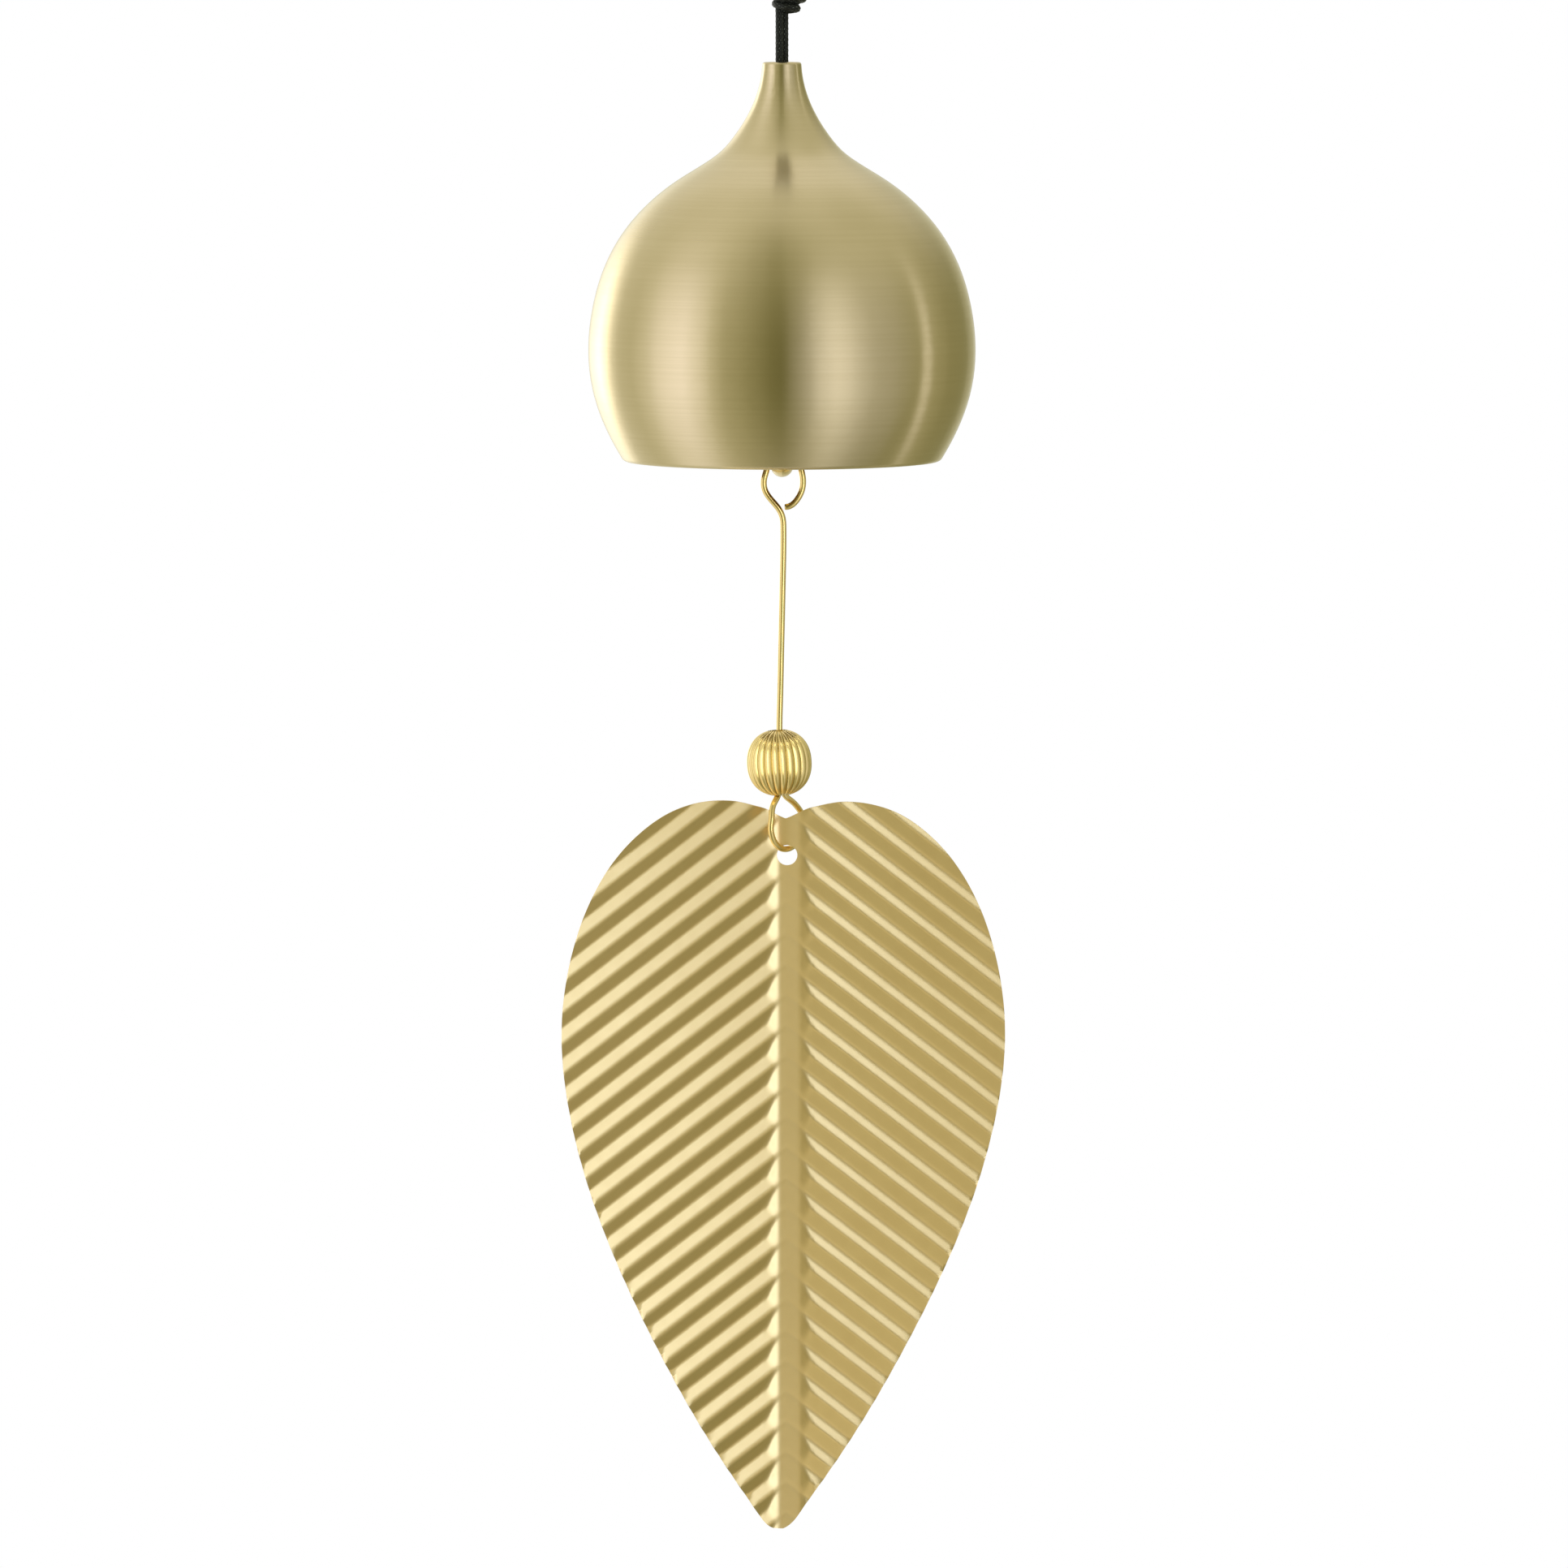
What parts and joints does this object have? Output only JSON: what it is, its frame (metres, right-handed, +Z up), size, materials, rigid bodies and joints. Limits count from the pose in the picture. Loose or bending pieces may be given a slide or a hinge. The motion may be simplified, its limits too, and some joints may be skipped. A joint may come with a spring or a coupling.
{
  "type": "wind bell",
  "caption": "Onion-shaped brass wind bell on a black cord, with a ring clapper, a bent catcher wire, a fluted bead and a pressed leaf that catches the wind.",
  "frame": {"origin": "inside top of the cord loop, where a hook or nail holds the bell", "axes": "+Z up, +X to the right in the picture, +Y away from the viewer; the leaf's face looks along -Y"},
  "size_m": [0.0692, 0.06, 0.2648],
  "materials": {
    "bell_brass": "satin, turned and lacquered",
    "leaf_brass": "satin, pressed sheet",
    "gilt_brass": "polished, warm gold",
    "cord_black": "braided cord with a dull glint"
  },
  "bodies": {
    "loop": {"hanging_loop": "cord_black"},
    "neck": {"hanging_knot": "cord_black", "neck_strand_front": "cord_black", "neck_strand_back": "cord_black"},
    "bell": {"bell_body": "bell_brass", "bore_strand_front": "cord_black", "bore_strand_back": "cord_black", "stopper_knot": "cord_black"},
    "clapper_cord": {"clapper_strand_left": "cord_black", "clapper_strand_right": "cord_black", "ring_knot": "cord_black", "ring_tie": "cord_black"},
    "ring": {"clapper_ring": "gilt_brass"},
    "catcher": {"catcher_wire": "gilt_brass"},
    "bead": {"ribbed_bead": "gilt_brass"},
    "leaf": {"leaf": "leaf_brass"}
  },
  "joints": [
    {"name": "cord_swing", "type": "hinge", "parent": "loop", "child": "neck", "pos_m": [0, 0, -0.0202], "axis": [1, 0, 0], "range_deg": [-20, 20]},
    {"name": "bell_swing", "type": "hinge", "parent": "neck", "child": "bell", "pos_m": [0, 0, -0.0344], "axis": [0, 1, 0], "range_deg": [-20, 20]},
    {"name": "clapper_swing", "type": "hinge", "parent": "bell", "child": "clapper_cord", "pos_m": [0, 0, -0.0567], "axis": [1, 0, 0], "range_deg": [-24, 24]},
    {"name": "ring_swing", "type": "hinge", "parent": "clapper_cord", "child": "ring", "pos_m": [0, 0, -0.07335], "axis": [0, 1, 0], "range_deg": [-18, 18]},
    {"name": "hook_swing", "type": "hinge", "parent": "ring", "child": "catcher", "pos_m": [0, 0, -0.09685], "axis": [0, 1, 0], "range_deg": [-30, 30]},
    {"name": "bead_slide", "type": "slide", "parent": "catcher", "child": "bead", "axis": [0, 0, 1], "range_m": [0, 0.028]},
    {"name": "leaf_rock", "type": "hinge", "parent": "catcher", "child": "leaf", "pos_m": [0.0005, 0, -0.15662], "axis": [0.6428, 0.766, 0], "range_deg": [-12, 12]}
  ]
}
